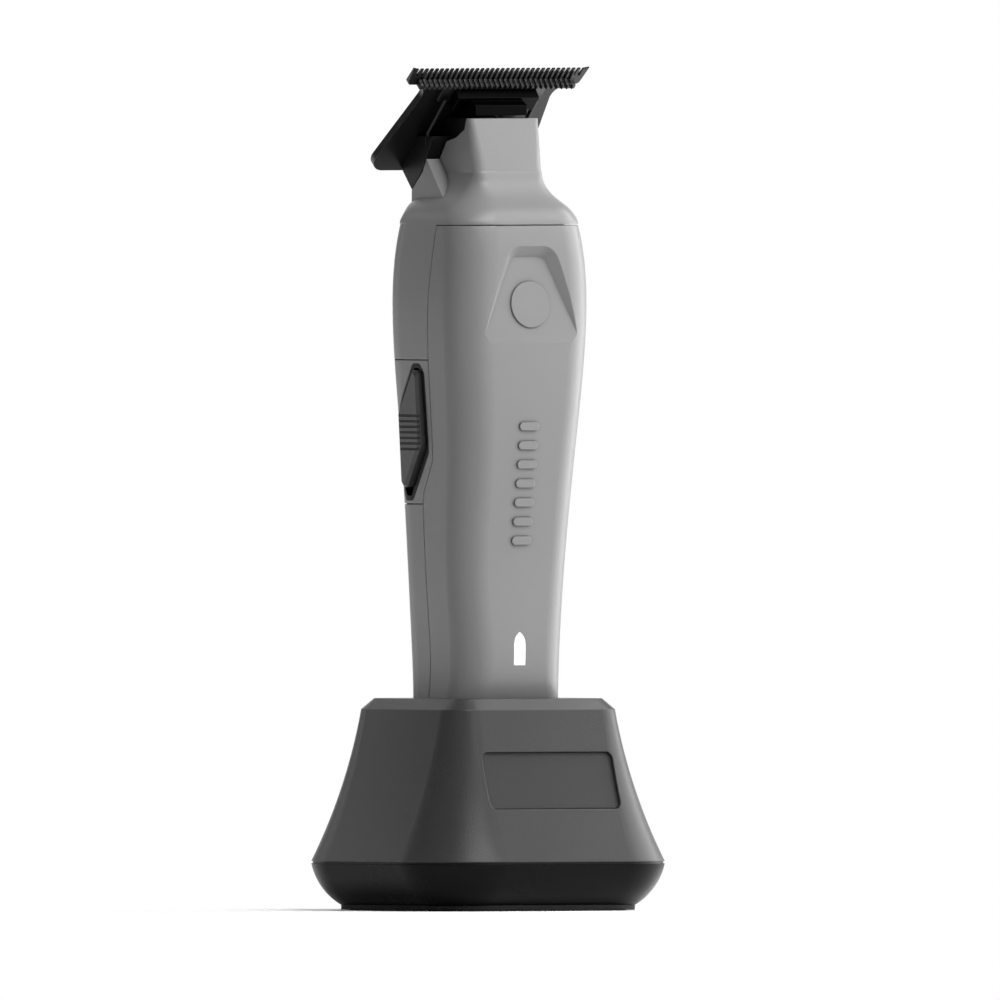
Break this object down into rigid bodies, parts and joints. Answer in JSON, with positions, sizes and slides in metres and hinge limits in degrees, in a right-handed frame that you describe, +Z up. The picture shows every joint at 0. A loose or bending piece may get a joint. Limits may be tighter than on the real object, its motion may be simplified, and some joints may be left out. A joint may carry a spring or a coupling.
{
  "type": "cordless hair trimmer with charging dock",
  "caption": "Cordless T-blade hair trimmer with a slide switch and indicator lamp, standing in a flared charging dock.",
  "frame": {"origin": "middle of the dock's footprint, on the surface it stands on", "axes": "+Z up, -Y towards the front with the label panel, the power switch on the -X side"},
  "size_m": [0.0658, 0.0614, 0.1814],
  "materials": {
    "dock_satin": "satin moulded plastic, dark grey",
    "dock_gloss": "smooth black plastic",
    "label_black": "fine-grained dark insert",
    "body_grey": "soft satin paint, mid grey",
    "switch_grey": "satin dark grey",
    "black_gloss": "smooth black",
    "black_plastic": "fine-grained black",
    "blade_black": "black carbon-coated steel, ground",
    "black_steel": "black oxide",
    "plain_steel": "plain steel",
    "contact_brass": "plated contacts",
    "circuit_board": "solder mask",
    "cell_sleeve": "shrink sleeve",
    "lens_white": "clear diffusing lens, lit",
    "lamp_white": "lamp body",
    "foot_rubber": "soft rubber"
  },
  "bodies": {
    "dock": {"dock_shell": "dock_satin", "dock_tray": "dock_gloss", "pocket_liner": "dock_satin", "label_panel": "label_black", "contact_barrels": "contact_brass", "dock_board": "circuit_board", "weight_plate": "plain_steel", "power_inlet": "black_plastic", "dock_feet": "foot_rubber", "dock_screws": "plain_steel"},
    "contact_pin_l": {"contact_pin_left": "contact_brass"},
    "contact_pin_r": {"contact_pin_right": "contact_brass"},
    "trimmer": {"front_cover": "body_grey", "rear_housing": "body_grey", "switch_plate": "body_grey", "switch_bezel": "black_gloss", "slide_switch": "black_plastic", "switch_board": "circuit_board", "main_board": "circuit_board", "indicator_led": "lamp_white", "indicator_lens": "lens_white", "battery_cell": "cell_sleeve", "base_cap": "black_plastic", "charge_pads": "contact_brass", "housing_screws": "black_steel", "motor_can": "plain_steel", "motor_end_cap": "black_plastic", "motor_mount": "black_plastic", "shaft_seal": "foot_rubber", "blade_seat": "black_plastic", "fixed_blade": "blade_black", "blade_screws": "black_steel", "tension_springs": "black_steel"},
    "slider": {"switch_slider": "switch_grey"},
    "rotor": {"motor_rotor": "plain_steel", "drive_crank": "black_plastic"},
    "cutter": {"cutter_blade": "blade_black", "cutter_yoke": "black_plastic"}
  },
  "joints": [
    {"name": "trimmer_lift", "type": "slide", "parent": "dock", "child": "trimmer", "axis": [0, 0, 1], "range_m": [0, 0.03]},
    {"name": "contact_pin_left_press", "type": "slide", "parent": "dock", "child": "contact_pin_l", "axis": [0, 0, 1], "range_m": [-0.001, 0], "stiffness_N_per_m": 150, "springref_m": 0.0002},
    {"name": "contact_pin_right_press", "type": "slide", "parent": "dock", "child": "contact_pin_r", "axis": [0, 0, 1], "range_m": [-0.001, 0], "stiffness_N_per_m": 150, "springref_m": 0.0002},
    {"name": "switch_slide", "type": "slide", "parent": "trimmer", "child": "slider", "axis": [-0.0564, 0, 0.9984], "range_m": [-0.0015, 0]},
    {"name": "rotor_spin", "type": "hinge", "parent": "trimmer", "child": "rotor", "pos_m": [0, -0.001, 0.142], "axis": [0, 0, 1], "continuous": true},
    {"name": "cutter_stroke", "type": "slide", "parent": "trimmer", "child": "cutter", "axis": [1, 0, 0], "range_m": [-0.0008, 0.0008]}
  ]
}
